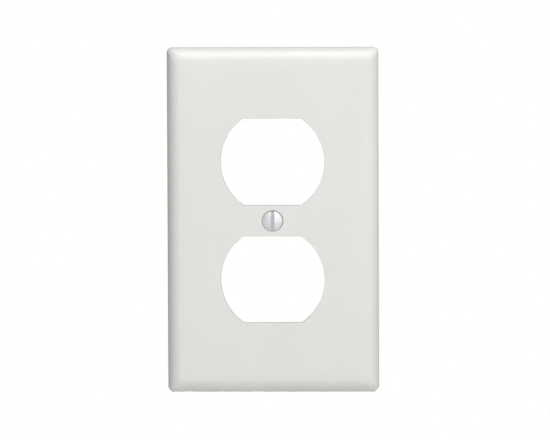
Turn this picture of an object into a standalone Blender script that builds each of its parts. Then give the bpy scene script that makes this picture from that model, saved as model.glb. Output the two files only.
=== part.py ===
"""One-gang duplex receptacle wall plate with its captive mounting screw.

Three pieces: the moulded plate, the slotted oval-head screw that holds it to an outlet,
and the thin fibre washer behind the plate that keeps the screw from falling out.

Frame: metres, +Z up, +X to the viewer's right, the front faces -Y. The origin is where the
screw's axis crosses the wall plane (Y = 0), so everything at Y < 0 stands out of the wall.
"""

import math

import bmesh
import bpy

MM = 0.001
INCH = 0.0254

# ---- driving dimensions ----------------------------------------------------------------

# Plate: the standard one-gang size.
PLATE_WIDTH = 2.75 * INCH
PLATE_HEIGHT = 4.50 * INCH
PLATE_DEPTH = 0.22 * INCH
CORNER_RADIUS = 1.8 * MM  # seen from the front, at the rim that meets the wall
FACE_CORNER_RADIUS = 2.4 * MM  # where the flat face begins
SHOULDER_INSET = 4.2 * MM  # how far the rounded shoulder reaches in from the rim
SHOULDER_DROP = 4.5 * MM  # how far it falls back from the crown
CROWN_INSET = 7.5 * MM  # how far in from the rim the face begins to fall away
CROWN_DROP = 0.7 * MM  # how far the crown would fall at the rim, under the shoulder
SIDE_DRAFT = 0.05 * MM  # the short straight side leans in this much from wall to shoulder
SHOULDER_STEPS = 10
CROWN_STEPS = 3  # from the shoulder to the flat face
CORNER_STEPS = 6

# Plate: hollow back.
WEB_THICKNESS = 2.4 * MM  # of the plate behind its flat face
RIM_THICKNESS = 1.9 * MM  # of the side wall, where it meets the wall plane
CAVITY_DRAFT = 0.15 * MM
CAVITY_FILLET = 1.4 * MM  # where the side wall meets the web
CAVITY_CORNER_RADIUS = 0.8 * MM
CAVITY_STEPS = 4  # in the fillet

# Outlet openings: a circle with its top and bottom cut flat.
OPENING_DIAMETER = 1.352 * INCH
OPENING_HEIGHT = 1.130 * INCH
OPENING_SPACING = 1.531 * INCH  # centre to centre, fixed by the outlet
OPENING_EDGE = 0.2 * MM  # radius of the broken edge round the front of each opening
OPENING_EDGE_STEPS = 2
OPENING_STEPS = 22  # per round side

# Ribs, collars and boss on the back of the plate.
COLLAR_THICKNESS = 1.3 * MM
COLLAR_HEIGHT = 1.5 * MM
RIB_THICKNESS = 1.1 * MM
RIB_HEIGHT = 1.0 * MM
BOSS_DIAMETER = 8.6 * MM
BOSS_HEIGHT = 0.9 * MM
ROOT = 0.6 * MM  # how deep ribs, collars and boss are rooted in the web and the rim

# Mounting screw: 6-32 UNC, half an inch long, 82 degree oval countersunk head.
THREAD_DIAMETER = 0.138 * INCH
THREAD_PITCH = INCH / 32
THREAD_DEPTH = 0.49 * MM
THREAD_CREST = 0.15  # width of the thread's flat crest, as a share of the pitch
THREAD_ROOT = 0.88  # width of the ridge at its root, as a share of the pitch
THREAD_BURIED = 0.12 * MM  # how far the ridge is rooted in the core
THREAD_RUNOUT = 0.6  # turns over which the ridge fades out at each end
THREAD_END = 0.1  # share of the ridge's height left at its very end, inside the core
SCREW_LENGTH = 0.5 * INCH  # from the widest part of the head to the tip
HEAD_DIAMETER = 6.6 * MM
HEAD_RISE = 1.2 * MM  # height of the dome above the head's widest part
HEAD_SINK = 0.2 * MM  # how far the head's widest part lies below the plate's face
HEAD_LAND = 0.15 * MM  # short straight band where dome and cone meet
HEAD_HALF_ANGLE = math.radians(41)
NECK_DIAMETER = 3.06 * MM
NECK_LENGTH = 0.7 * MM  # plain shank between the head's cone and the thread
TIP_CHAMFER = 0.5 * MM
SLOT_WIDTH = 1.15 * MM
SLOT_DEPTH = 1.55 * MM  # from the top of the dome
HEAD_STEPS = 40  # facets round the head
DOME_STEPS = 6  # rings from the top of the dome to its edge
THREAD_STEPS = 24  # facets per turn of thread

# Screw hole.
HOLE_DIAMETER = 3.9 * MM
HEAD_CLEARANCE = 0.3 * MM  # radial gap round the head's widest part
MOUTH_DEPTH = 0.25 * MM  # straight wall at the mouth, before the cone

# Retaining washer.
WASHER_DIAMETER = 7.6 * MM
WASHER_BORE = THREAD_DIAMETER + 0.2 * MM
WASHER_THICKNESS = 0.45 * MM
WASHER_TO_WALL = 0.15 * MM  # the washer stays this far inside the wall plane
WASHER_STEPS = 36

# ---- dimensions that follow ------------------------------------------------------------

FACE_Y = -PLATE_DEPTH
CAVITY_FLOOR_Y = FACE_Y + WEB_THICKNESS
BOSS_BACK_Y = CAVITY_FLOOR_Y + BOSS_HEIGHT
WASHER_BACK_Y = -WASHER_TO_WALL
WASHER_FRONT_Y = WASHER_BACK_Y - WASHER_THICKNESS
OPENING_CENTRES_Z = (OPENING_SPACING / 2, -OPENING_SPACING / 2)
PAST = 1.0 * MM  # how far a cutter runs past the surface that it opens

PLASTIC = {"colour": (0.77, 0.765, 0.74, 1), "roughness": 0.32, "metallic": 0.0}
ZINC = {"colour": (0.66, 0.69, 0.72, 1), "roughness": 0.28, "metallic": 1.0}
FIBRE = {"colour": (0.42, 0.30, 0.20, 1), "roughness": 0.85, "metallic": 0.0}


# ---- scene helpers ---------------------------------------------------------------------


def clear_scene():
    for obj in list(bpy.data.objects):
        bpy.data.objects.remove(obj)


def new_collection(name):
    collection = bpy.data.collections.new(name)
    bpy.context.scene.collection.children.link(collection)
    return collection


def new_object(name, mesh, collection):
    obj = bpy.data.objects.new(name, mesh)
    collection.objects.link(obj)
    return obj


def as_helper(obj):
    """Marks a cutter, or a shape that is only joined into a part."""
    obj.hide_render = True
    obj.display_type = "WIRE"
    return obj


def give_material(obj, name, look):
    material = bpy.data.materials.new(name)
    material.use_nodes = True
    shader = material.node_tree.nodes["Principled BSDF"]
    shader.inputs["Base Color"].default_value = look["colour"]
    shader.inputs["Roughness"].default_value = look["roughness"]
    shader.inputs["Metallic"].default_value = look["metallic"]
    obj.data.materials.clear()
    obj.data.materials.append(material)


def combine(target, operation, tool):
    """Adds a Boolean to the target. operation is UNION or DIFFERENCE."""
    modifier = target.modifiers.new(f"{operation.lower()}_{tool.name}", "BOOLEAN")
    modifier.operation = operation
    modifier.solver = "EXACT"
    modifier.object = tool


def smooth_by_angle(obj, degrees):
    obj.data.shade_smooth()
    obj.data.set_sharp_from_angle(angle=math.radians(degrees))


# ---- outlines and shape makers ---------------------------------------------------------


def rounded_rectangle(width, height, radius):
    """Points (x, z) round a rectangle with round corners, counter-clockwise."""
    points = []
    for quarter, (side_x, side_z) in enumerate(((1, 1), (-1, 1), (-1, -1), (1, -1))):
        centre_x = side_x * (width / 2 - radius)
        centre_z = side_z * (height / 2 - radius)
        for step in range(CORNER_STEPS + 1):
            angle = (quarter + step / CORNER_STEPS) * math.pi / 2
            points.append(
                (centre_x + radius * math.cos(angle), centre_z + radius * math.sin(angle))
            )
    return points


def duplex_outline(centre_z, grow):
    """Points (x, z) round an outlet opening, grown outwards, counter-clockwise."""
    radius = OPENING_DIAMETER / 2 + grow
    flat = OPENING_HEIGHT / 2 + grow
    reach = math.asin(flat / radius)
    points = []
    for start in (0, math.pi):
        for step in range(OPENING_STEPS + 1):
            angle = start - reach + 2 * reach * step / OPENING_STEPS
            points.append((radius * math.cos(angle), centre_z + radius * math.sin(angle)))
    return points


def loft(name, sections, collection):
    """A closed solid through flat sections across Y: a list of (y, outline), same point counts."""
    shape = bmesh.new()
    rings = [[shape.verts.new((x, y, z)) for x, z in outline] for y, outline in sections]
    for ring, following in zip(rings, rings[1:]):
        for i in range(len(ring)):
            j = (i + 1) % len(ring)
            shape.faces.new((ring[i], ring[j], following[j], following[i]))
    shape.faces.new(rings[0])
    shape.faces.new(rings[-1])
    bmesh.ops.recalc_face_normals(shape, faces=shape.faces)
    mesh = bpy.data.meshes.new(name)
    shape.to_mesh(mesh)
    shape.free()
    return new_object(name, mesh, collection)


def turned(name, profile, steps, collection):
    """A solid turned about the Y axis. profile is (radius, y) from front to back along the outside."""
    mesh = bpy.data.meshes.new(name)
    points = [(radius, -y, 0) for radius, y in profile]
    edges = [(i, i + 1) for i in range(len(points) - 1)]
    mesh.from_pydata(points, edges, [])
    obj = new_object(name, mesh, collection)
    screw = obj.modifiers.new("turn", "SCREW")
    screw.axis = "Y"
    screw.steps = steps
    screw.render_steps = steps
    screw.use_merge_vertices = True
    screw.merge_threshold = 0.00001
    obj.rotation_euler = (0, 0, math.pi)
    return obj


def evaluated_copy(obj, name, collection):
    """Replaces an object by a plain mesh of its evaluated shape, in world space."""
    bpy.context.view_layer.update()
    graph = bpy.context.evaluated_depsgraph_get()
    mesh = bpy.data.meshes.new_from_object(obj.evaluated_get(graph))
    mesh.transform(obj.matrix_world)
    bpy.data.objects.remove(obj)
    return new_object(name, mesh, collection)


def box(name, low, high, collection):
    """A box between two corners."""
    centre = [(a + b) / 2 for a, b in zip(low, high)]
    size = [b - a for a, b in zip(low, high)]
    shape = bmesh.new()
    bmesh.ops.create_cube(shape, size=1)
    bmesh.ops.scale(shape, vec=size, verts=shape.verts)
    bmesh.ops.translate(shape, vec=centre, verts=shape.verts)
    mesh = bpy.data.meshes.new(name)
    shape.to_mesh(mesh)
    shape.free()
    return new_object(name, mesh, collection)


# ---- wall plate ------------------------------------------------------------------------


def plate_section(inset, y, corner_radius):
    outline = rounded_rectangle(PLATE_WIDTH - 2 * inset, PLATE_HEIGHT - 2 * inset, corner_radius)
    return y, outline


def shoulder_profile():
    """(inset, y) from the rim to the flat face: a quarter ellipse laid on a shallow crown."""
    shoulder = []
    for step in range(SHOULDER_STEPS + 1):
        angle = step / SHOULDER_STEPS * math.pi / 2
        inset = SIDE_DRAFT + SHOULDER_INSET * (1 - math.cos(angle))
        shoulder.append((inset, SHOULDER_DROP * (1 - math.sin(angle))))
    shoulder_end = SIDE_DRAFT + SHOULDER_INSET
    for step in range(1, CROWN_STEPS + 1):
        share = step / CROWN_STEPS
        shoulder.append((shoulder_end + (CROWN_INSET - shoulder_end) * share, 0))
    return [
        (inset, FACE_Y + drop + CROWN_DROP * (1 - inset / CROWN_INSET) ** 2)
        for inset, drop in shoulder
    ]


def plate_body(collection):
    """The outside of the plate: a short straight side, then the rounded shoulder up to the face."""
    sections = [plate_section(0, 0, CORNER_RADIUS)]
    for inset, y in shoulder_profile():
        radius = CORNER_RADIUS + (FACE_CORNER_RADIUS - CORNER_RADIUS) * inset / CROWN_INSET
        sections.append(plate_section(inset, y, radius))
    return loft("wall_plate", sections, collection)


def cavity_cutter(collection):
    """The hollow of the back, open at the wall plane, with a fillet round its floor."""
    sections = [plate_section(RIM_THICKNESS, y, CAVITY_CORNER_RADIUS) for y in (PAST, 0)]
    for step in range(CAVITY_STEPS + 1):
        angle = step / CAVITY_STEPS * math.pi / 2
        inset = RIM_THICKNESS + CAVITY_DRAFT + CAVITY_FILLET * (1 - math.cos(angle))
        y = CAVITY_FLOOR_Y + CAVITY_FILLET * (1 - math.sin(angle))
        sections.append(plate_section(inset, y, CAVITY_CORNER_RADIUS))
    return as_helper(loft("cavity_cutter", sections, collection))


def opening_cutter(name, centre_z, collection):
    """Cuts an outlet opening, flared by its broken edge where it reaches the face."""
    sections = [(FACE_Y - PAST, duplex_outline(centre_z, OPENING_EDGE + PAST))]
    for step in range(OPENING_EDGE_STEPS + 1):
        angle = step / OPENING_EDGE_STEPS * math.pi / 2
        grow = OPENING_EDGE * (1 - math.sin(angle))
        y = FACE_Y + OPENING_EDGE * (1 - math.cos(angle))
        sections.append((y, duplex_outline(centre_z, grow)))
    sections.append((PAST, duplex_outline(centre_z, 0)))
    return as_helper(loft(name, sections, collection))


def collar(name, centre_z, collection):
    """The raised lip round an opening, on the back of the web."""
    outline = duplex_outline(centre_z, COLLAR_THICKNESS)
    sections = [(CAVITY_FLOOR_Y - ROOT, outline), (CAVITY_FLOOR_Y + COLLAR_HEIGHT, outline)]
    return as_helper(loft(name, sections, collection))


def boss(collection):
    """The round pad behind the screw hole."""
    radius = BOSS_DIAMETER / 2
    profile = [
        (0, CAVITY_FLOOR_Y - ROOT),
        (radius, CAVITY_FLOOR_Y - ROOT),
        (radius, BOSS_BACK_Y),
        (0, BOSS_BACK_Y),
    ]
    obj = turned("boss", profile, HEAD_STEPS, collection)
    return as_helper(evaluated_copy(obj, "screw_boss", collection))


def rib(name, x_range, z_range, collection):
    low = (x_range[0], CAVITY_FLOOR_Y - ROOT, z_range[0])
    high = (x_range[1], CAVITY_FLOOR_Y + RIB_HEIGHT, z_range[1])
    return as_helper(box(name, low, high, collection))


def ribs(collection):
    """Ribs from each collar and from the boss out to the rim."""
    half = RIB_THICKNESS / 2
    rim_x = PLATE_WIDTH / 2 - RIM_THICKNESS + ROOT
    rim_z = PLATE_HEIGHT / 2 - RIM_THICKNESS + ROOT
    collar_x = OPENING_DIAMETER / 2 + COLLAR_THICKNESS - ROOT
    collar_z = OPENING_SPACING / 2 + OPENING_HEIGHT / 2 + COLLAR_THICKNESS - ROOT
    boss_x = BOSS_DIAMETER / 2 - ROOT
    made = []
    for side, side_name in ((-1, "left"), (1, "right")):
        rows = [("middle", 0, boss_x)]
        rows += [("upper", OPENING_CENTRES_Z[0], collar_x), ("lower", OPENING_CENTRES_Z[1], collar_x)]
        for row_name, z, start in rows:
            x_range = sorted((side * start, side * rim_x))
            made.append(rib(f"{row_name}_{side_name}_rib", x_range, (z - half, z + half), collection))
    for side, name in ((1, "top_rib"), (-1, "bottom_rib")):
        z_range = sorted((side * collar_z, side * rim_z))
        made.append(rib(name, (-half, half), z_range, collection))
    return made


def screw_hole_cutter(collection):
    """The countersunk hole: a mouth for the head, a cone and a clearance hole."""
    mouth = HEAD_DIAMETER / 2 + HEAD_CLEARANCE
    hole = HOLE_DIAMETER / 2
    cone_start = FACE_Y + MOUTH_DEPTH
    cone_end = cone_start + (mouth - hole) / math.tan(HEAD_HALF_ANGLE)
    profile = [
        (0, FACE_Y - PAST),
        (mouth, FACE_Y - PAST),
        (mouth, cone_start),
        (hole, cone_end),
        (hole, PAST),
        (0, PAST),
    ]
    obj = turned("hole", profile, HEAD_STEPS, collection)
    return as_helper(evaluated_copy(obj, "screw_hole_cutter", collection))


def make_plate(parts, cutters):
    plate = plate_body(parts)
    combine(plate, "DIFFERENCE", cavity_cutter(cutters))
    for name, z in zip(("upper", "lower"), OPENING_CENTRES_Z):
        combine(plate, "UNION", collar(f"{name}_collar", z, cutters))
    combine(plate, "UNION", boss(cutters))
    for made in ribs(cutters):
        combine(plate, "UNION", made)
    for name, z in zip(("upper", "lower"), OPENING_CENTRES_Z):
        combine(plate, "DIFFERENCE", opening_cutter(f"{name}_opening_cutter", z, cutters))
    combine(plate, "DIFFERENCE", screw_hole_cutter(cutters))
    smooth_by_angle(plate, 25)
    give_material(plate, "white_plastic", PLASTIC)
    return plate


# ---- mounting screw --------------------------------------------------------------------


def head_and_core_profile():
    """(radius, y) down the outside of the screw without its thread, y from the head's widest part."""
    rim = HEAD_DIAMETER / 2
    dome_radius = (rim**2 + HEAD_RISE**2) / (2 * HEAD_RISE)
    dome_angle = math.asin(rim / dome_radius)
    neck = NECK_DIAMETER / 2
    core = THREAD_DIAMETER / 2 - THREAD_DEPTH
    cone_end = HEAD_LAND + (rim - neck) / math.tan(HEAD_HALF_ANGLE)
    profile = []
    for step in range(DOME_STEPS + 1):
        angle = dome_angle * step / DOME_STEPS
        profile.append(
            (dome_radius * math.sin(angle), dome_radius * (1 - math.cos(angle)) - HEAD_RISE)
        )
    profile += [
        (rim, HEAD_LAND),
        (neck, cone_end),
        (neck, cone_end + NECK_LENGTH / 2),
        (core, cone_end + NECK_LENGTH),
        (core, SCREW_LENGTH - TIP_CHAMFER),
        (core - TIP_CHAMFER, SCREW_LENGTH),
        (0, SCREW_LENGTH),
    ]
    thread_start = cone_end + NECK_LENGTH / 2
    return profile, thread_start


def thread_ridge(start, end, collection):
    """The helical ridge of the thread: one section swept by a Screw modifier, its ends faded out."""
    buried = THREAD_DIAMETER / 2 - THREAD_DEPTH - THREAD_BURIED
    crest = THREAD_DIAMETER / 2
    root_half = THREAD_PITCH * THREAD_ROOT / 2
    crest_half = THREAD_PITCH * THREAD_CREST / 2
    turns = int((end - start) / THREAD_PITCH) - 1
    corners = [
        (buried, 0, -root_half),
        (crest, 0, -crest_half),
        (crest, 0, crest_half),
        (buried, 0, root_half),
    ]
    mesh = bpy.data.meshes.new("thread_section")
    mesh.from_pydata(corners, [(0, 1), (1, 2), (2, 3), (3, 0)], [])
    swept = new_object("thread_section", mesh, collection)
    screw = swept.modifiers.new("thread", "SCREW")
    screw.axis = "Z"
    screw.screw_offset = THREAD_PITCH
    screw.iterations = turns
    screw.steps = THREAD_STEPS
    screw.render_steps = THREAD_STEPS
    ridge = evaluated_copy(swept, "thread_ridge", collection)

    shape = bmesh.new()
    shape.from_mesh(ridge.data)
    bmesh.ops.holes_fill(shape, edges=[e for e in shape.edges if e.is_boundary], sides=4)
    sweep = turns * THREAD_PITCH
    fade = THREAD_RUNOUT * THREAD_PITCH
    for vertex in shape.verts:
        turn_share = (math.atan2(vertex.co.y, vertex.co.x) / (2 * math.pi)) % 1
        nearest_turn = round(vertex.co.z / THREAD_PITCH - turn_share)
        along = min(max((nearest_turn + turn_share) * THREAD_PITCH, 0), sweep)
        share = min(1, THREAD_END + along / fade, THREAD_END + (sweep - along) / fade)
        radius = math.hypot(vertex.co.x, vertex.co.y)
        scale = (buried + (radius - buried) * share) / radius
        vertex.co.x *= scale
        vertex.co.y *= scale
    bmesh.ops.recalc_face_normals(shape, faces=shape.faces)
    if shape.calc_volume(signed=True) < 0:
        bmesh.ops.reverse_faces(shape, faces=shape.faces)
    shape.to_mesh(ridge.data)
    shape.free()
    off_the_facets = math.pi / 2 / HEAD_STEPS  # keeps the ridge's edges off the core's
    ridge.rotation_euler = (-math.pi / 2, off_the_facets, 0)
    ridge.location = (0, start + (end - start - sweep) / 2, 0)
    return as_helper(evaluated_copy(ridge, "thread_ridge", collection))


def make_screw(parts, cutters):
    profile, thread_start = head_and_core_profile()
    turned_screw = turned("screw_blank", profile, HEAD_STEPS, parts)
    screw = evaluated_copy(turned_screw, "mounting_screw", parts)
    ridge = thread_ridge(thread_start, SCREW_LENGTH - TIP_CHAMFER / 2, cutters)
    slot = box(
        "slot_cutter",
        (-SLOT_WIDTH / 2, -2 * HEAD_RISE, -HEAD_DIAMETER),
        (SLOT_WIDTH / 2, SLOT_DEPTH - HEAD_RISE, HEAD_DIAMETER),
        cutters,
    )
    combine(screw, "UNION", ridge)
    combine(screw, "DIFFERENCE", as_helper(slot))
    for piece in (screw, ridge, slot):
        piece.location = (0, FACE_Y + HEAD_SINK, 0)
    smooth_by_angle(screw, 30)
    give_material(screw, "zinc_plated_steel", ZINC)
    return screw


# ---- retaining washer ------------------------------------------------------------------


def make_washer(parts):
    inner = WASHER_BORE / 2
    outer = WASHER_DIAMETER / 2
    profile = [
        (inner, WASHER_FRONT_Y),
        (outer, WASHER_FRONT_Y),
        (outer, WASHER_BACK_Y),
        (inner, WASHER_BACK_Y),
        (inner, WASHER_FRONT_Y),
    ]
    blank = turned("washer_blank", profile, WASHER_STEPS, parts)
    washer = evaluated_copy(blank, "screw_retaining_washer", parts)
    shape = bmesh.new()
    shape.from_mesh(washer.data)
    bmesh.ops.remove_doubles(shape, verts=shape.verts, dist=0.00001)
    shape.to_mesh(washer.data)
    shape.free()
    smooth_by_angle(washer, 30)
    give_material(washer, "vulcanised_fibre", FIBRE)
    return washer


# ---- assembly --------------------------------------------------------------------------


def add_assembly_empty(parts, pieces):
    """An empty at the origin that carries the whole plate."""
    empty = bpy.data.objects.new("duplex_wall_plate_assembly", None)
    empty.empty_display_size = 0.01
    parts.objects.link(empty)
    for piece in pieces:
        piece.parent = empty


def main():
    clear_scene()
    parts = new_collection("duplex_wall_plate")
    cutters = new_collection("cutters")
    plate = make_plate(parts, cutters)
    screw = make_screw(parts, cutters)
    washer = make_washer(parts)
    add_assembly_empty(parts, (plate, screw, washer))


main()
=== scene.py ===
"""Looks of the duplex wall plate: fine meshes, materials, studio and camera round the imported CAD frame.

Metres, +Z up, the front of the plate faces -Y, the wall plane is Y = 0 and the screw's axis is the
Y axis. The plate and the washer take their outer sizes from the CAD nodes. Every other shape comes
from the named dimensions below, and the main ones are the CAD's own.
"""

import math

import bmesh
import bpy
from mathutils import Matrix, Vector, noise


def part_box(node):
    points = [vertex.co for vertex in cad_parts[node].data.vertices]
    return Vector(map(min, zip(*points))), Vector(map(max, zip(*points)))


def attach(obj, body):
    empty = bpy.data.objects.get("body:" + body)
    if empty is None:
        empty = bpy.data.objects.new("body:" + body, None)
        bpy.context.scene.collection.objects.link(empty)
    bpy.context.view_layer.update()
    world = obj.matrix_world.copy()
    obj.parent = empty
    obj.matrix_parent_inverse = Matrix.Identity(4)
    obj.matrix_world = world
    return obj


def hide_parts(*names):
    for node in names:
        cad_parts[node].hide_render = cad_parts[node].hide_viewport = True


MM = 0.001
INCH = 0.0254

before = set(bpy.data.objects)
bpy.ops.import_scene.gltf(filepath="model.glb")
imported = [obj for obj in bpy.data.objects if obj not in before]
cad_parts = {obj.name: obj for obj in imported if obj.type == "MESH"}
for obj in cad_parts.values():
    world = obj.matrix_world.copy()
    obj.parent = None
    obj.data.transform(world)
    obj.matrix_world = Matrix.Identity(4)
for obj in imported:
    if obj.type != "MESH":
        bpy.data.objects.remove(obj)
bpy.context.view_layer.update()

PLATE_LOW, PLATE_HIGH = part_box("wall_plate")
WASHER_LOW, WASHER_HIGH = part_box("screw_retaining_washer")

# ---- plate dimensions ------------------------------------------------------------------

PLATE_WIDTH = PLATE_HIGH.x - PLATE_LOW.x
PLATE_HEIGHT = PLATE_HIGH.z - PLATE_LOW.z
WALL_Y = PLATE_HIGH.y
FACE_Y = PLATE_LOW.y
CORNER_RADIUS = 1.8 * MM
FACE_CORNER_RADIUS = 2.4 * MM  # where the flat face begins
SHOULDER_INSET = 4.2 * MM  # how far the rounded shoulder reaches in from the rim
SHOULDER_DROP = 4.5 * MM  # how far it falls back from the crown
CROWN_INSET = 7.5 * MM  # how far in from the rim the face begins to fall away
CROWN_DROP = 0.7 * MM  # how far the crown would fall at the rim, under the shoulder
SIDE_DRAFT = 0.05 * MM  # the short straight side leans in this much
SHOULDER_STEPS = 26
CROWN_STEPS = 10
CORNER_STEPS = 12  # in a quarter of the outline
EDGE_STEPS = 5  # facets in a small rounded edge

WEB_THICKNESS = 2.4 * MM
WEB_BACK_Y = FACE_Y + WEB_THICKNESS
RIM_THICKNESS = 1.9 * MM
RIM_EDGE = 0.18 * MM  # rounded inner edge of the rim
CAVITY_DRAFT = 0.15 * MM
CAVITY_FILLET = 1.4 * MM  # where the side wall meets the web
CAVITY_CORNER_RADIUS = 0.8 * MM
CAVITY_STEPS = 10  # in the fillet

OPENING_DIAMETER = 1.352 * INCH
OPENING_HEIGHT = 1.130 * INCH
OPENING_SPACING = 1.531 * INCH
OPENING_EDGE = 0.2 * MM  # rounded edge round the front of each opening
OPENING_STEPS = 48  # per round side

COLLAR_THICKNESS = 1.3 * MM
COLLAR_HEIGHT = 1.5 * MM
RIB_THICKNESS = 1.1 * MM
RIB_HEIGHT = 1.0 * MM
BOSS_DIAMETER = 8.6 * MM
BOSS_HEIGHT = 0.9 * MM
ROOT = 0.6 * MM  # how deep ribs, collars and boss are rooted in their neighbours
ROOT_FILLET = 0.35 * MM  # where a rib, collar or boss meets the web
CREST_EDGE = 0.12 * MM  # rounded top edge of ribs, collars and boss
RIB_DRAFT = 0.06 * MM  # the sides of ribs, collars and boss lean in this much

HOLE_DIAMETER = 3.9 * MM
HEAD_CLEARANCE = 0.3 * MM  # radial gap round the head's widest part
MOUTH_DEPTH = 0.25 * MM  # straight wall at the hole's mouth, before its cone
HOLE_EDGE = 0.12 * MM
PIN_MARK_DIAMETER = 4.0 * MM  # where the mould's ejector pins pushed the plate out
PIN_MARK_DEPTH = 0.12 * MM
PIN_MARK_INSET = 8 * MM  # from the plate's sides and ends
PIN_MARK_MIDDLE_Z = 10 * MM  # of the marks between those at the corners
PLATE_SHARP_ANGLE = 28  # degrees: an edge sharper than this isn't shaded smooth

# ---- screw and washer dimensions -------------------------------------------------------

THREAD_DIAMETER = 0.138 * INCH
THREAD_PITCH = INCH / 32
THREAD_DEPTH = 0.49 * MM
THREAD_CREST = 0.13  # width of the flat crest, as a share of the pitch
THREAD_ROOT = 0.12  # width of the flat root, as a share of the pitch
THREAD_RUNOUT = 0.8  # turns over which the thread rises behind the neck
THREAD_ROUNDING = 0.35  # 0 leaves the thread's corners sharp, and 1 makes its flanks S-shaped
SCREW_LENGTH = 0.5 * INCH  # from the head's widest part to the tip
HEAD_DIAMETER = 6.6 * MM
HEAD_RISE = 1.2 * MM  # height of the dome above the head's widest part
HEAD_SINK = 0.2 * MM  # how far the head's widest part lies below the plate's face
HEAD_LAND = 0.15 * MM  # thickness of the head's widest part
HEAD_HALF_ANGLE = math.radians(41)
NECK_DIAMETER = 3.06 * MM
NECK_LENGTH = 0.7 * MM
TIP_INSET = 0.275 * MM  # how far the flat tip's rim lies inside the thread's root
TIP_SLOPE = 1.35  # how fast the tip's radius grows with the distance from its end
SLOT_WIDTH = 1.15 * MM
SLOT_DEPTH = 1.55 * MM  # from the top of the dome
SLOT_EDGE = 0.07 * MM  # rounded edges of its mouth
SLOT_FILLET = 0.12 * MM  # rounded corners of its floor
SLOT_SLICES = 60  # along its length
LAND_EDGE = 0.05 * MM  # rounded edges of the head's widest part
HEAD_STEPS = 128
DOME_ROWS = 22
CONE_ROWS = 8
THREAD_ROWS = 16  # along one pitch
SCREW_SHARP_ANGLE = 38

WASHER_PLAY = 0.2 * MM  # how much wider its bore is than the thread
WASHER_EDGE = 0.1 * MM  # rounded edges on its back
WASHER_RAGGEDNESS = 0.03 * MM
WASHER_RAGGED_SIZE = 0.25 * MM  # width of one ragged bump
WASHER_STEPS = 96
WASHER_ROWS = 4
WASHER_SHARP_ANGLE = 40

BEYOND = 1 * MM  # how far a cutter reaches past what it cuts
ON_AXIS = 1e-9  # metres: a turned shape's point nearer the axis than this is one vertex

# ---- shape makers ----------------------------------------------------------------------


def object_from(shape, name):
    """Turns a bmesh into an object in the scene."""
    mesh = bpy.data.meshes.new(name)
    shape.to_mesh(mesh)
    shape.free()
    obj = bpy.data.objects.new(name, mesh)
    bpy.context.scene.collection.objects.link(obj)
    return obj


def face_outwards(shape):
    """Turns the faces of a closed shape outwards."""
    bmesh.ops.recalc_face_normals(shape, faces=shape.faces)
    if shape.calc_volume(signed=True) < 0:
        bmesh.ops.reverse_faces(shape, faces=shape.faces)


def loft(name, rings, capped=True):
    """Joins rings of points, all of one length, into a skin, with a flat cap at each end."""
    shape = bmesh.new()
    made = [[shape.verts.new(point) for point in ring] for ring in rings]
    for ring, following in zip(made, made[1:]):
        for i in range(len(ring)):
            j = (i + 1) % len(ring)
            shape.faces.new((ring[i], ring[j], following[j], following[i]))
    if capped:
        shape.faces.new(made[0])
        shape.faces.new(made[-1])
    face_outwards(shape)
    return object_from(shape, name)


def turned(name, profile, steps, closed=False):
    """A solid turned about the Y axis from (radius, y) points. A closed profile makes a ring."""
    shape = bmesh.new()
    columns = []
    for step in range(steps):
        angle = 2 * math.pi * step / steps
        column = []
        for index, (radius, y) in enumerate(profile):
            if radius < ON_AXIS and step > 0:
                column.append(columns[0][index])
            else:
                place = (radius * math.cos(angle), y, radius * math.sin(angle))
                column.append(shape.verts.new(place))
        columns.append(column)
    last = len(profile) if closed else len(profile) - 1
    for step in range(steps):
        here, there = columns[step], columns[(step + 1) % steps]
        for i in range(last):
            j = (i + 1) % len(profile)
            corners = []
            for vertex in (here[i], here[j], there[j], there[i]):
                if vertex not in corners:
                    corners.append(vertex)
            if len(corners) > 2:
                shape.faces.new(corners)
    face_outwards(shape)
    return object_from(shape, name)


def combine(target, tool, operation):
    """Joins or cuts with an EXACT Boolean and bakes the result into the target's mesh."""
    modifier = target.modifiers.new("combine", "BOOLEAN")
    modifier.operation = operation
    modifier.solver = "EXACT"
    modifier.object = tool
    bpy.context.view_layer.update()
    graph = bpy.context.evaluated_depsgraph_get()
    mesh = bpy.data.meshes.new_from_object(target.evaluated_get(graph))
    target.modifiers.clear()
    target.data = mesh
    bpy.data.objects.remove(tool)


def shade(obj, degrees):
    """Smooth shading with sharp edges, and flat faces kept flat by weighting normals by area."""
    obj.data.shade_smooth()
    obj.data.set_sharp_from_angle(angle=math.radians(degrees))
    weighted = obj.modifiers.new("weighted", "WEIGHTED_NORMAL")
    weighted.keep_sharp = True
    weighted.weight = 100


# ---- outlines --------------------------------------------------------------------------


def rounded_rectangle(inset, y, radius):
    """A ring of points round the plate's outline, moved in by the inset."""
    points = []
    for quarter, (side_x, side_z) in enumerate(((1, 1), (-1, 1), (-1, -1), (1, -1))):
        centre_x = side_x * (PLATE_WIDTH / 2 - inset - radius)
        centre_z = side_z * (PLATE_HEIGHT / 2 - inset - radius)
        for step in range(CORNER_STEPS + 1):
            angle = (quarter + step / CORNER_STEPS) * math.pi / 2
            x = centre_x + radius * math.cos(angle)
            points.append((x, y, centre_z + radius * math.sin(angle)))
    return points


def duplex_ring(centre_z, grow, y):
    """A ring of points round an outlet opening: a circle whose top and bottom are cut flat."""
    radius = OPENING_DIAMETER / 2 + grow
    flat = OPENING_HEIGHT / 2 + grow
    reach = math.asin(flat / radius)
    points = []
    for start in (0, math.pi):
        for step in range(OPENING_STEPS + 1):
            angle = start - reach + 2 * reach * step / OPENING_STEPS
            z = centre_z + radius * math.sin(angle)
            points.append((radius * math.cos(angle), y, z))
    return points


def quarter_round(radius):
    """(inward, along) pairs round a quarter circle, from its side to its top."""
    pairs = []
    for step in range(EDGE_STEPS + 1):
        angle = step / EDGE_STEPS * math.pi / 2
        pairs.append((radius * (1 - math.cos(angle)), radius * math.sin(angle)))
    return pairs


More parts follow.
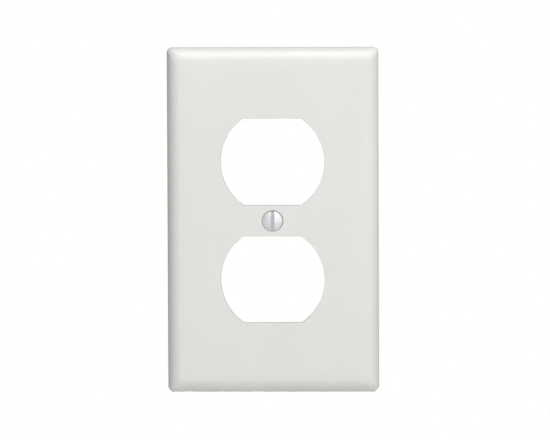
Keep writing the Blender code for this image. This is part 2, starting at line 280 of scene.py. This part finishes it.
# ---- wall plate ------------------------------------------------------------------------


def shoulder_profile():
    """(inset, y) from the rim to the flat face: a quarter ellipse laid on a shallow crown."""
    shoulder = []
    for step in range(SHOULDER_STEPS + 1):
        angle = step / SHOULDER_STEPS * math.pi / 2
        inset = SIDE_DRAFT + SHOULDER_INSET * (1 - math.cos(angle))
        shoulder.append((inset, SHOULDER_DROP * (1 - math.sin(angle))))
    shoulder_end = SIDE_DRAFT + SHOULDER_INSET
    for step in range(1, CROWN_STEPS + 1):
        share = step / CROWN_STEPS
        shoulder.append((shoulder_end + (CROWN_INSET - shoulder_end) * share, 0))
    return [
        (inset, FACE_Y + drop + CROWN_DROP * (1 - inset / CROWN_INSET) ** 2)
        for inset, drop in shoulder
    ]


def plate_skin():
    """The outside of the plate: a short straight side, then the rounded shoulder up to the face."""
    rings = [rounded_rectangle(0, WALL_Y, CORNER_RADIUS)]
    for inset, y in shoulder_profile():
        radius = CORNER_RADIUS + (FACE_CORNER_RADIUS - CORNER_RADIUS) * inset / CROWN_INSET
        rings.append(rounded_rectangle(inset, y, radius))
    return loft("wall_plate_moulding", rings)


def cavity_cutter():
    """The hollow back, with a rounded inner edge on the rim and a fillet round its floor."""
    corner = CAVITY_CORNER_RADIUS
    rings = [rounded_rectangle(RIM_THICKNESS - RIM_EDGE, WALL_Y + BEYOND, corner)]
    for inward, along in quarter_round(RIM_EDGE):
        inset = RIM_THICKNESS - RIM_EDGE + along
        rings.append(rounded_rectangle(inset, WALL_Y - inward, corner))
    for step in range(CAVITY_STEPS + 1):
        angle = step / CAVITY_STEPS * math.pi / 2
        inset = RIM_THICKNESS + CAVITY_DRAFT + CAVITY_FILLET * (1 - math.cos(angle))
        y = WEB_BACK_Y + CAVITY_FILLET * (1 - math.sin(angle))
        rings.append(rounded_rectangle(inset, y, corner))
    return loft("cavity_cutter", rings)


def raised_profile(height, draft):
    """(grow, y) up the side of a rib or collar: root fillet, drafted wall, rounded crest."""
    profile = [(ROOT_FILLET, WEB_BACK_Y - ROOT)]
    for inward, along in quarter_round(ROOT_FILLET):
        profile.append((ROOT_FILLET - along, WEB_BACK_Y + inward))
    for inward, along in quarter_round(CREST_EDGE):
        profile.append((-draft - inward, WEB_BACK_Y + height - CREST_EDGE + along))
    return profile


def collar(centre_z):
    """The lip round the back of an outlet opening, still filled."""
    rings = []
    for grow, y in raised_profile(COLLAR_HEIGHT, RIB_DRAFT):
        rings.append(duplex_ring(centre_z, COLLAR_THICKNESS + grow, y))
    return loft("collar", rings)


def boss():
    """The round pad behind the screw hole, still filled."""
    radius = BOSS_DIAMETER / 2
    profile = [(radius + grow, y) for grow, y in raised_profile(BOSS_HEIGHT, RIB_DRAFT)]
    profile = [(0, profile[0][1])] + profile + [(0, profile[-1][1])]
    return turned("boss", profile, HEAD_STEPS)


def rib(start, end):
    """A rib of one section between two points on the back, given as (x, z)."""
    start, end = Vector((start[0], 0, start[1])), Vector((end[0], 0, end[1]))
    across = (end - start).normalized().cross(Vector((0, 1, 0)))
    half = RIB_THICKNESS / 2
    side = [(half + grow, y) for grow, y in raised_profile(RIB_HEIGHT, RIB_DRAFT)]
    section = side + [(-offset, y) for offset, y in reversed(side)]
    rings = []
    for place in (start, end):
        rings.append([place + across * offset + Vector((0, y, 0)) for offset, y in section])
    return loft("rib", rings)


def rib_lines():
    """Start and end (x, z) of the ribs from the collars and the boss to the rim."""
    rim_x = PLATE_WIDTH / 2 - RIM_THICKNESS + ROOT
    rim_z = PLATE_HEIGHT / 2 - RIM_THICKNESS + ROOT
    collar_x = OPENING_DIAMETER / 2 + COLLAR_THICKNESS - ROOT
    collar_z = OPENING_SPACING / 2 + OPENING_HEIGHT / 2 + COLLAR_THICKNESS - ROOT
    boss_x = BOSS_DIAMETER / 2 - ROOT / 2  # clear of the washer when the screw backs out
    lines = []
    for side in (-1, 1):
        lines.append(((side * boss_x, 0), (side * rim_x, 0)))
        lines.append(((0, side * collar_z), (0, side * rim_z)))
        for row in (-1, 1):
            z = row * OPENING_SPACING / 2
            lines.append(((side * collar_x, z), (side * rim_x, z)))
    return lines


def opening_cutter(centre_z):
    """Cuts an outlet opening, with a rounded edge on the face and on the back of its collar."""
    back_y = WEB_BACK_Y + COLLAR_HEIGHT
    rings = [duplex_ring(centre_z, OPENING_EDGE, FACE_Y - BEYOND)]
    for inward, along in quarter_round(OPENING_EDGE):
        rings.append(duplex_ring(centre_z, OPENING_EDGE - along, FACE_Y + inward))
    for inward, along in quarter_round(CREST_EDGE):
        rings.append(duplex_ring(centre_z, inward, back_y - CREST_EDGE + along))
    rings.append(duplex_ring(centre_z, CREST_EDGE, back_y + BEYOND))
    return loft("opening_cutter", rings)


def screw_hole_cutter():
    """Cuts the countersunk screw hole, with rounded edges on the face and on the boss."""
    mouth = HEAD_DIAMETER / 2 + HEAD_CLEARANCE
    hole = HOLE_DIAMETER / 2
    cone_start = FACE_Y + MOUTH_DEPTH
    cone_end = cone_start + (mouth - hole) / math.tan(HEAD_HALF_ANGLE)
    back_y = WEB_BACK_Y + BOSS_HEIGHT
    profile = [(0, FACE_Y - BEYOND), (mouth + HOLE_EDGE, FACE_Y - BEYOND)]
    for inward, along in quarter_round(HOLE_EDGE):
        profile.append((mouth + HOLE_EDGE - along, FACE_Y + inward))
    profile += [(mouth, cone_start), (hole, cone_end)]
    for inward, along in quarter_round(HOLE_EDGE):
        profile.append((hole + inward, back_y - HOLE_EDGE + along))
    profile += [(hole + HOLE_EDGE, back_y + BEYOND), (0, back_y + BEYOND)]
    return turned("screw_hole_cutter", profile, HEAD_STEPS)


def pin_mark_cutter(x, z):
    """A shallow round print left in the back of the web."""
    radius = PIN_MARK_DIAMETER / 2
    profile = [
        (0, WEB_BACK_Y - PIN_MARK_DEPTH),
        (radius, WEB_BACK_Y - PIN_MARK_DEPTH),
        (radius + PIN_MARK_DEPTH, WEB_BACK_Y),
        (radius + PIN_MARK_DEPTH, WEB_BACK_Y + BEYOND / 2),
        (0, WEB_BACK_Y + BEYOND / 2),
    ]
    cutter = turned("pin_mark_cutter", profile, HEAD_STEPS // 2)
    cutter.location = (x, 0, z)
    return cutter


def make_plate():
    plate = plate_skin()
    combine(plate, cavity_cutter(), "DIFFERENCE")
    centres = (OPENING_SPACING / 2, -OPENING_SPACING / 2)
    for centre_z in centres:
        combine(plate, collar(centre_z), "UNION")
    combine(plate, boss(), "UNION")
    for start, end in rib_lines():
        combine(plate, rib(start, end), "UNION")
    for centre_z in centres:
        combine(plate, opening_cutter(centre_z), "DIFFERENCE")
    combine(plate, screw_hole_cutter(), "DIFFERENCE")
    mark_x = PLATE_WIDTH / 2 - PIN_MARK_INSET
    mark_z = PLATE_HEIGHT / 2 - PIN_MARK_INSET
    for x in (-mark_x, mark_x):
        for z in (-mark_z, PIN_MARK_MIDDLE_Z, mark_z):
            combine(plate, pin_mark_cutter(x, z), "DIFFERENCE")
    shade(plate, PLATE_SHARP_ANGLE)
    return plate


# ---- mounting screw --------------------------------------------------------------------


def head_height(radius):
    """How far the dome's surface stands in front of the head's widest part, at a radius."""
    rim = HEAD_DIAMETER / 2
    dome_radius = (rim**2 + HEAD_RISE**2) / (2 * HEAD_RISE)
    return math.sqrt(dome_radius**2 - radius**2) - (dome_radius - HEAD_RISE)


def thread_height(phase):
    """Share of the thread's height along one pitch: root at phase 0, crest at phase 0.5."""
    flank = (1 - THREAD_CREST - THREAD_ROOT) / 2
    from_crest = abs((phase % 1) - 0.5) - THREAD_CREST / 2
    share = min(1, max(0, 1 - from_crest / flank))
    rounded = share * share * (3 - 2 * share)
    return share + (rounded - share) * THREAD_ROUNDING


def shank_radius(angle, y, cone_end):
    """The shank's radius at an angle and a distance behind the head's widest part."""
    crest = THREAD_DIAMETER / 2
    root = crest - THREAD_DEPTH
    start = cone_end + NECK_LENGTH / 2
    fade = min(1, max(0, (y - start) / (THREAD_RUNOUT * THREAD_PITCH)))
    phase = y / THREAD_PITCH - angle / (2 * math.pi)
    thread = root + (crest - root) * thread_height(phase) * fade
    blend = min(1, max(0, (cone_end + NECK_LENGTH - y) / (NECK_LENGTH / 2)))
    neck = root + (NECK_DIAMETER / 2 - root) * blend
    tip = root - TIP_INSET + (SCREW_LENGTH - y) * TIP_SLOPE
    return min(max(thread, neck), tip)


def head_profile(cone_end):
    """(radius, y) down the head from the middle of its dome to the end of its cone."""
    rim = HEAD_DIAMETER / 2
    profile = []
    for row in range(1, DOME_ROWS + 1):
        radius = (rim - LAND_EDGE) * math.sin(row / DOME_ROWS * math.pi / 2)
        profile.append((radius, -head_height(radius)))
    profile += [(rim, LAND_EDGE), (rim, HEAD_LAND - LAND_EDGE)]
    cone_start = HEAD_LAND + LAND_EDGE
    for row in range(CONE_ROWS + 1):
        share = row / CONE_ROWS
        radius = rim - LAND_EDGE + (NECK_DIAMETER / 2 - rim + LAND_EDGE) * share
        profile.append((radius, cone_start + (cone_end - cone_start) * share))
    return profile


def make_screw():
    """One closed skin: domed head, land, cone, neck, thread and flat tip, then the slot is cut."""
    angles = [2 * math.pi * step / HEAD_STEPS for step in range(HEAD_STEPS)]
    cone_end = HEAD_LAND + (HEAD_DIAMETER - NECK_DIAMETER) / 2 / math.tan(HEAD_HALF_ANGLE)
    rows = [([radius] * HEAD_STEPS, y) for radius, y in head_profile(cone_end)]
    shank_rows = int((SCREW_LENGTH - cone_end) / THREAD_PITCH * THREAD_ROWS)
    for row in range(1, shank_rows + 1):
        y = cone_end + (SCREW_LENGTH - cone_end) * row / shank_rows
        rows.append(([shank_radius(angle, y, cone_end) for angle in angles], y))
    shape = bmesh.new()
    top = shape.verts.new((0, -head_height(0), 0))
    rings = []
    for radii, y in rows:
        places = [
            (radius * math.sin(angle), y, radius * math.cos(angle))
            for radius, angle in zip(radii, angles)
        ]
        rings.append([shape.verts.new(place) for place in places])
    for step in range(HEAD_STEPS):
        following = (step + 1) % HEAD_STEPS
        shape.faces.new((top, rings[0][step], rings[0][following]))
        for ring, below in zip(rings, rings[1:]):
            shape.faces.new((ring[step], below[step], below[following], ring[following]))
    shape.faces.new(rings[-1])
    face_outwards(shape)
    screw = object_from(shape, "screw_with_thread")
    combine(screw, slot_cutter(), "DIFFERENCE")
    screw.data.transform(Matrix.Translation((0, FACE_Y + HEAD_SINK, 0)))
    shade(screw, SCREW_SHARP_ANGLE)
    return screw


def slot_cutter():
    """The slot: a flat floor with filleted corners, and a mouth that opens along the dome."""
    half = SLOT_WIDTH / 2
    floor = SLOT_DEPTH - HEAD_RISE
    reach = HEAD_DIAMETER / 2 + BEYOND / 2
    rings = []
    for index in range(SLOT_SLICES + 1):
        z = -reach + 2 * reach * index / SLOT_SLICES
        radius = min(math.hypot(z, half), HEAD_DIAMETER / 2)
        surface = -head_height(radius)
        side = []
        for inward, along in quarter_round(SLOT_FILLET):
            side.append((half - SLOT_FILLET + along, floor - inward))
        for inward, along in quarter_round(SLOT_EDGE):
            side.append((half + inward, surface + SLOT_EDGE - along))
        side.append((half + SLOT_EDGE, surface - 2 * HEAD_RISE))
        ring = [(x, y, z) for x, y in side] + [(-x, y, z) for x, y in reversed(side)]
        rings.append(ring)
    return loft("slot_cutter", rings)


# ---- retaining washer ------------------------------------------------------------------


def make_washer():
    """A punched washer: rounded over on the back, with a slightly ragged outer edge."""
    front, back = WASHER_LOW.y, WASHER_HIGH.y
    outer = (WASHER_HIGH.x - WASHER_LOW.x) / 2
    inner = (THREAD_DIAMETER + WASHER_PLAY) / 2
    wall = [
        front + (back - WASHER_EDGE - front) * row / WASHER_ROWS for row in range(WASHER_ROWS)
    ]
    rounded = quarter_round(WASHER_EDGE)
    outer_side = [(outer, y) for y in wall]
    outer_side += [(outer - inward, back - WASHER_EDGE + along) for inward, along in rounded]
    inner_side = [(inner, y) for y in wall]
    inner_side += [(inner + inward, back - WASHER_EDGE + along) for inward, along in rounded]
    profile = outer_side + inner_side[::-1]
    washer = turned("fibre_washer", profile, WASHER_STEPS, closed=True)
    for vertex in washer.data.vertices:
        radius = math.hypot(vertex.co.x, vertex.co.z)
        if radius > (inner + outer) / 2:
            ragged = abs(noise.noise(vertex.co / WASHER_RAGGED_SIZE)) * WASHER_RAGGEDNESS
            vertex.co.x *= 1 - ragged / radius
            vertex.co.z *= 1 - ragged / radius
    shade(washer, WASHER_SHARP_ANGLE)
    return washer


# ---- materials -------------------------------------------------------------------------


def new_material(name):
    material = bpy.data.materials.new(name)
    material.use_nodes = True
    tree = material.node_tree
    return material, tree, tree.nodes["Principled BSDF"]


def add_node(tree, kind, **values):
    """Adds a node. A value goes to the input of that name, or else to the node's own setting."""
    node = tree.nodes.new(kind)
    for key, value in values.items():
        if key in node.inputs:
            node.inputs[key].default_value = value
        else:
            setattr(node, key, value)
    return node


def math_node(tree, operation, *operands):
    """A Math node whose operands are numbers or other nodes' outputs. Returns its output."""
    node = add_node(tree, "ShaderNodeMath", operation=operation)
    for slot, operand in zip(node.inputs, operands):
        if isinstance(operand, bpy.types.NodeSocket):
            tree.links.new(operand, slot)
        else:
            slot.default_value = operand
    return node.outputs["Value"]


def ramp(tree, value, start, end, low=0.0, high=1.0):
    """Maps a value smoothly from the range start..end to low..high. Returns the output."""
    node = add_node(tree, "ShaderNodeMapRange", interpolation_type="SMOOTHSTEP")
    tree.links.new(value, node.inputs["Value"])
    node.inputs["From Min"].default_value = start
    node.inputs["From Max"].default_value = end
    node.inputs["To Min"].default_value = low
    node.inputs["To Max"].default_value = high
    return node.outputs["Result"]


def grain(tree, place, size, detail=2.0, stretch=(1, 1, 1)):
    """Noise of 0..1 whose blotches are about `size` metres across. Returns the output."""
    scaled = add_node(tree, "ShaderNodeVectorMath", operation="MULTIPLY")
    scaled.inputs[1].default_value = [axis / size for axis in stretch]
    tree.links.new(place, scaled.inputs[0])
    node = add_node(tree, "ShaderNodeTexNoise", Scale=1.0, Detail=detail)
    tree.links.new(scaled.outputs["Vector"], node.inputs["Vector"])
    return node.outputs["Fac"]


def blend_colours(tree, share, first, second):
    """Two colours, or a colour's output and a colour, mixed by a share. Returns the output."""
    node = add_node(tree, "ShaderNodeMix", data_type="RGBA")
    factor, a, b = node.inputs[0], node.inputs[6], node.inputs[7]
    tree.links.new(share, factor)
    for slot, colour in ((a, first), (b, second)):
        if isinstance(colour, bpy.types.NodeSocket):
            tree.links.new(colour, slot)
        else:
            slot.default_value = (*colour, 1)
    return node.outputs[2]


def relief(tree, height, depth, below=None):
    """A Bump node of a real depth in metres, on top of another one. Returns its normal."""
    node = add_node(tree, "ShaderNodeBump", Strength=1.0, Distance=depth)
    tree.links.new(height, node.inputs["Height"])
    if below is not None:
        tree.links.new(below, node.inputs["Normal"])
    return node.outputs["Normal"]


def plastic_back_mask(tree, coordinates):
    """1 on the hollow back, which the mould leaves matt, and 0 on the glossy outside."""
    axes = add_node(tree, "ShaderNodeSeparateXYZ")
    tree.links.new(coordinates.outputs["Object"], axes.inputs["Vector"])
    facing = add_node(tree, "ShaderNodeSeparateXYZ")
    tree.links.new(coordinates.outputs["Normal"], facing.inputs["Vector"])
    side = math_node(
        tree, "SUBTRACT", PLATE_WIDTH / 2, math_node(tree, "ABSOLUTE", axes.outputs["X"])
    )
    end = math_node(
        tree, "SUBTRACT", PLATE_HEIGHT / 2, math_node(tree, "ABSOLUTE", axes.outputs["Z"])
    )
    inset = math_node(tree, "MINIMUM", side, end)
    inside = ramp(tree, inset, RIM_THICKNESS * 0.5, RIM_THICKNESS * 0.7)
    behind = ramp(tree, axes.outputs["Y"], WEB_BACK_Y - 0.3 * MM, WEB_BACK_Y - 0.1 * MM)
    hollow = math_node(tree, "MULTIPLY", inside, behind)
    facing_back = ramp(tree, facing.outputs["Y"], 0.5, 0.8)
    return math_node(tree, "MAXIMUM", hollow, facing_back)


def distance_from_axis(tree, axes):
    """Distance from the screw's axis, from separated object coordinates. Returns the output."""
    x, z = axes.outputs["X"], axes.outputs["Z"]
    squares = math_node(tree, "MULTIPLY_ADD", z, z, math_node(tree, "MULTIPLY", x, x))
    return math_node(tree, "SQRT", squares)


def countersink_shade_mask(tree, coordinates):
    """1 on the wall and cone of the countersink, where a painted shade greys the plastic."""
    axes = add_node(tree, "ShaderNodeSeparateXYZ")
    tree.links.new(coordinates.outputs["Object"], axes.inputs["Vector"])
    mouth = HEAD_DIAMETER / 2 + HEAD_CLEARANCE
    near = ramp(tree, distance_from_axis(tree, axes), mouth, mouth + 0.05 * MM, low=1, high=0)
    deep = ramp(tree, axes.outputs["Y"], FACE_Y + HOLE_EDGE, FACE_Y + MOUTH_DEPTH)
    return math_node(tree, "MULTIPLY", near, deep)


def plastic_material():
    """White moulding: polished and faintly wavy outside, eroded-mould texture on the back, painted shade
    in the countersink.
    """
    streak_colours = (0.800, 0.794, 0.762), (0.812, 0.809, 0.783)
    cloud_colour = (0.79, 0.785, 0.75)
    matt_colours = (0.76, 0.755, 0.725), (0.81, 0.805, 0.78)
    # painted shade: a grey ring on the countersink's wall and cone round the screw's head
    painted_shade_colour = (0.50, 0.50, 0.49)
    painted_shade_share = 0.5

    material, tree, shader = new_material("white_moulded_plastic")
    coordinates = add_node(tree, "ShaderNodeTexCoord")
    place = coordinates.outputs["Object"]
    back = plastic_back_mask(tree, coordinates)
    flow = grain(tree, place, size=22 * MM, detail=3.0, stretch=(1, 1, 0.5))
    mottle = grain(tree, place, size=1.3 * MM, detail=3.0)
    peel = grain(tree, place, size=0.55 * MM, detail=2.0)
    eroded = grain(tree, place, size=0.12 * MM, detail=3.0)

    streaked = blend_colours(tree, ramp(tree, flow, 0.35, 0.65), *streak_colours)
    cloud_share = ramp(tree, mottle, 0.6, 0.8, high=0.35)
    clouded = blend_colours(tree, cloud_share, streaked, cloud_colour)
    matt = blend_colours(tree, ramp(tree, eroded, 0.3, 0.7), *matt_colours)
    finish = blend_colours(tree, back, clouded, matt)
    # painted shade greys the countersink's wall and cone
    ring_shade = math_node(tree, "MULTIPLY", countersink_shade_mask(tree, coordinates), painted_shade_share)
    colour = blend_colours(tree, ring_shade, finish, painted_shade_colour)
    tree.links.new(colour, shader.inputs["Base Color"])

    gloss = ramp(tree, mottle, 0.3, 0.7, low=0.175, high=0.205)
    dull = ramp(tree, eroded, 0.3, 0.7, low=0.46, high=0.60)
    difference = math_node(tree, "SUBTRACT", dull, gloss)
    roughness = math_node(tree, "MULTIPLY_ADD", back, difference, gloss)
    tree.links.new(roughness, shader.inputs["Roughness"])
    shader.inputs["IOR"].default_value = 1.5

    waviness = relief(tree, flow, depth=0.05 * MM)
    orange_peel = relief(tree, peel, depth=0.0012 * MM, below=waviness)
    pitted = math_node(tree, "MULTIPLY", eroded, back)
    texture = relief(tree, pitted, depth=0.012 * MM, below=orange_peel)
    tree.links.new(texture, shader.inputs["Normal"])
    return material


def zinc_material():
    """Barrel-plated steel: cool silver, faint marks round the axis, small dings, a slightly rougher slot
    darkened by painted shade.
    """
    plated_colours = (0.88, 0.905, 0.915), (0.945, 0.96, 0.955)
    mark_colour = (0.80, 0.83, 0.85)
    # painted shade in the slot
    painted_slot_shade = (0.42, 0.44, 0.46)
    slot_margin = 0.1 * MM

    material, tree, shader = new_material("bright_zinc_plating")
    coordinates = add_node(tree, "ShaderNodeTexCoord")
    place = coordinates.outputs["Object"]
    axes = add_node(tree, "ShaderNodeSeparateXYZ")
    tree.links.new(place, axes.inputs["Vector"])
    x, y = axes.outputs["X"], axes.outputs["Y"]
    radius = distance_from_axis(tree, axes)
    round_axis = add_node(tree, "ShaderNodeCombineXYZ")
    tree.links.new(radius, round_axis.inputs["X"])
    tree.links.new(y, round_axis.inputs["Y"])
    marks = grain(tree, round_axis.outputs["Vector"], size=0.09 * MM, detail=3.0)
    patches = grain(tree, place, size=0.9 * MM, detail=4.0)
    dings = grain(tree, place, size=0.28 * MM, detail=2.0)
    crystals = grain(tree, place, size=0.03 * MM, detail=2.0)

    off_centre = math_node(tree, "ABSOLUTE", x)
    slot_side = ramp(tree, off_centre, SLOT_WIDTH * 0.5, SLOT_WIDTH * 0.54, low=1, high=0)
    slot_end = FACE_Y + HEAD_SINK + SLOT_DEPTH - HEAD_RISE + slot_margin
    slot_depth = ramp(tree, y, slot_end, slot_end + slot_margin, low=1, high=0)
    slot = math_node(tree, "MULTIPLY", slot_side, slot_depth)

    plated = blend_colours(tree, ramp(tree, patches, 0.35, 0.65), *plated_colours)
    marked = blend_colours(tree, ramp(tree, marks, 0.55, 0.8, high=0.5), plated, mark_colour)
    # painted shade: ambient occlusion darkens the slot's floor by its walls and ends
    crevice_occlusion = add_node(tree, "ShaderNodeAmbientOcclusion", samples=8, Distance=SLOT_DEPTH)
    occlusion_shade = ramp(tree, crevice_occlusion.outputs["AO"], 0.15, 0.42, low=1.0, high=0.25)
    slot_shade_share = math_node(tree, "MULTIPLY", slot, occlusion_shade)
    colour = blend_colours(tree, slot_shade_share, marked, painted_slot_shade)
    tree.links.new(colour, shader.inputs["Base Color"])
    shader.inputs["Metallic"].default_value = 1.0

    plated_roughness = ramp(tree, patches, 0.3, 0.7, low=0.61, high=0.70)
    rougher = ramp(tree, marks, 0.3, 0.8, high=0.06)
    roughness = math_node(tree, "ADD", plated_roughness, rougher)
    roughness = math_node(tree, "MULTIPLY_ADD", slot, 0.08, roughness)
    tree.links.new(roughness, shader.inputs["Roughness"])

    dinged = relief(tree, ramp(tree, dings, 0.3, 0.6), depth=0.004 * MM)
    turned_marks = relief(tree, marks, depth=0.0022 * MM, below=dinged)
    sparkle = relief(tree, crystals, depth=0.0012 * MM, below=turned_marks)
    tree.links.new(sparkle, shader.inputs["Normal"])
    return material


def fibre_material():
    """Pressed brown-grey fibre sheet: flecks on the faces and thin layers on the edges."""
    sheet_colours = (0.30, 0.215, 0.15), (0.41, 0.31, 0.225)
    fleck_colour = (0.55, 0.45, 0.34)
    layer_colour = (0.20, 0.14, 0.10)

    material, tree, shader = new_material("vulcanised_fibre")
    coordinates = add_node(tree, "ShaderNodeTexCoord")
    place = coordinates.outputs["Object"]
    cloud = grain(tree, place, size=1.6 * MM, detail=3.0)
    fleck_along = grain(tree, place, size=0.12 * MM, detail=3.0, stretch=(0.2, 1, 1.4))
    fleck_across = grain(tree, place, size=0.12 * MM, detail=3.0, stretch=(1.4, 1, 0.2))
    layers = grain(tree, place, size=0.05 * MM, detail=2.0, stretch=(0.05, 1, 0.05))
    flecks = math_node(tree, "MAXIMUM", fleck_along, fleck_across)

    base = blend_colours(tree, ramp(tree, cloud, 0.35, 0.65), *sheet_colours)
    flecked = blend_colours(tree, ramp(tree, flecks, 0.55, 0.8, high=0.8), base, fleck_colour)
    layer_share = ramp(tree, layers, 0.3, 0.5, low=0.5, high=0)
    layered = blend_colours(tree, layer_share, flecked, layer_colour)
    tree.links.new(layered, shader.inputs["Base Color"])
    roughness = ramp(tree, flecks, 0.4, 0.8, low=0.9, high=0.72)
    tree.links.new(roughness, shader.inputs["Roughness"])

    fuzz = relief(tree, flecks, depth=0.02 * MM)
    edges = relief(tree, layers, depth=0.01 * MM, below=fuzz)
    tree.links.new(edges, shader.inputs["Normal"])
    return material


# ---- studio and camera -----------------------------------------------------------------


def make_camera():
    """A long lens two metres away, a little to the right of the plate and above it."""
    distance = 2.0
    yaw, pitch, roll = math.radians(2.0), math.radians(4.0), math.radians(-0.22)
    camera = bpy.data.objects.new("camera", bpy.data.cameras.new("camera"))
    bpy.context.scene.collection.objects.link(camera)
    back = Vector(
        (math.sin(yaw) * math.cos(pitch), -math.cos(yaw) * math.cos(pitch), math.sin(pitch))
    )
    camera.location = back * distance
    aim = (-back).to_track_quat("-Z", "Y")
    camera.rotation_mode = "QUATERNION"
    camera.rotation_quaternion = aim @ Matrix.Rotation(roll, 4, "Z").to_quaternion()
    camera.data.sensor_width = 36
    camera.data.lens = 396
    camera.data.shift_x = 0.0035
    camera.data.shift_y = -0.0002
    camera.data.clip_start = 0.05
    camera.data.clip_end = 50
    bpy.context.scene.camera = camera


def make_world():
    """A dim room that is brighter to the right. The camera sees it as plain white."""
    world = bpy.data.worlds.new("studio")
    bpy.context.scene.world = world
    world.use_nodes = True
    tree = world.node_tree
    room_mean = 0.32
    room_slope = (0.32, 0, 0)
    direction = add_node(tree, "ShaderNodeTexCoord")
    slope = add_node(tree, "ShaderNodeVectorMath", operation="DOT_PRODUCT")
    slope.inputs[1].default_value = room_slope
    room = add_node(tree, "ShaderNodeMath", operation="ADD")
    room.inputs[1].default_value = room_mean
    path = add_node(tree, "ShaderNodeLightPath")
    seen = add_node(tree, "ShaderNodeMath", operation="MAXIMUM")
    tree.links.new(direction.outputs["Generated"], slope.inputs[0])
    tree.links.new(slope.outputs["Value"], room.inputs[0])
    tree.links.new(room.outputs["Value"], seen.inputs[0])
    tree.links.new(path.outputs["Is Camera Ray"], seen.inputs[1])
    tree.links.new(seen.outputs["Value"], tree.nodes["Background"].inputs["Color"])


def make_floor():
    """A pale floor, at the depth below the plate at which a wall outlet usually stands."""
    depth = 0.35
    size = 12
    shape = bmesh.new()
    bmesh.ops.create_grid(shape, x_segments=1, y_segments=1, size=size / 2)
    bmesh.ops.translate(shape, vec=(0, 0, -depth), verts=shape.verts)
    floor = object_from(shape, "pale_floor")
    material, tree, shader = new_material("pale_floor")
    shader.inputs["Base Color"].default_value = (0.8, 0.8, 0.8, 1)
    shader.inputs["Roughness"].default_value = 0.9
    white = add_node(tree, "ShaderNodeEmission")
    path = add_node(tree, "ShaderNodeLightPath")
    mix = add_node(tree, "ShaderNodeMixShader")
    tree.links.new(path.outputs["Is Camera Ray"], mix.inputs["Fac"])
    tree.links.new(shader.outputs["BSDF"], mix.inputs[1])
    tree.links.new(white.outputs["Emission"], mix.inputs[2])
    tree.links.new(mix.outputs["Shader"], tree.nodes["Material Output"].inputs["Surface"])
    floor.data.materials.append(material)


def softbox(name, azimuth, elevation, distance, width, height, radiance):
    """A rectangular light that faces the origin and that the camera doesn't see."""
    light = bpy.data.lights.new(name, "AREA")
    light.shape = "RECTANGLE"
    light.size, light.size_y = width, height
    light.energy = radiance * math.pi * width * height
    obj = bpy.data.objects.new(name, light)
    bpy.context.scene.collection.objects.link(obj)
    turn, lift = math.radians(azimuth), math.radians(elevation)
    towards = Vector(
        (math.sin(turn) * math.cos(lift), -math.cos(turn) * math.cos(lift), math.sin(lift))
    )
    obj.location = towards * distance
    obj.rotation_euler = (-towards).to_track_quat("-Z", "Y").to_euler()
    obj.visible_camera = False


def make_studio():
    """Name, azimuth, elevation, distance, width, height and radiance of each light.

    Azimuths run from the front (0) towards the viewer's right, in degrees.
    """
    make_world()
    make_floor()
    key_place = (0.75, 0.34, 0.28)  # distance, width and height
    softbox("key_upper", 3, 60, *key_place, 3.0)
    softbox("key_lower", 3, 37, *key_place, 1.45)
    softbox("key_right_upper", 34, 60, *key_place, 2.2)
    softbox("key_right_lower", 34, 37, *key_place, 1.35)
    softbox("overhead", 10, 85, 0.75, 0.6, 0.2, 3.2)
    softbox("front_fill", 5, 0, 1.2, 1.1, 0.8, 1.02)
    softbox("left_fill", -55, 0, 1.0, 1.2, 0.9, 0.5)
    softbox("right_fill", 55, 0, 1.0, 1.2, 0.9, 0.4)
    softbox("low_fill", 0, -48, 1.0, 1.2, 0.5, 0.4)
    softbox("low_left_fill", -50, -38, 1.0, 0.8, 0.5, 0.25)
    softbox("back", 180, -24, 1.0, 0.8, 0.4, 8.0)
    bpy.context.scene.view_settings.view_transform = "Standard"


# ---- assembly --------------------------------------------------------------------------


def add_piece(piece, material, body, node):
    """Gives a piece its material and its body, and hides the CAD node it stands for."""
    piece.data.materials.clear()
    piece.data.materials.append(material)
    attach(piece, body)
    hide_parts(node)


add_piece(make_plate(), plastic_material(), "plate", "wall_plate")
add_piece(make_screw(), zinc_material(), "screw", "mounting_screw")
add_piece(
    make_washer(), fibre_material(), "retainer", "screw_retaining_washer"
)
make_studio()
make_camera()
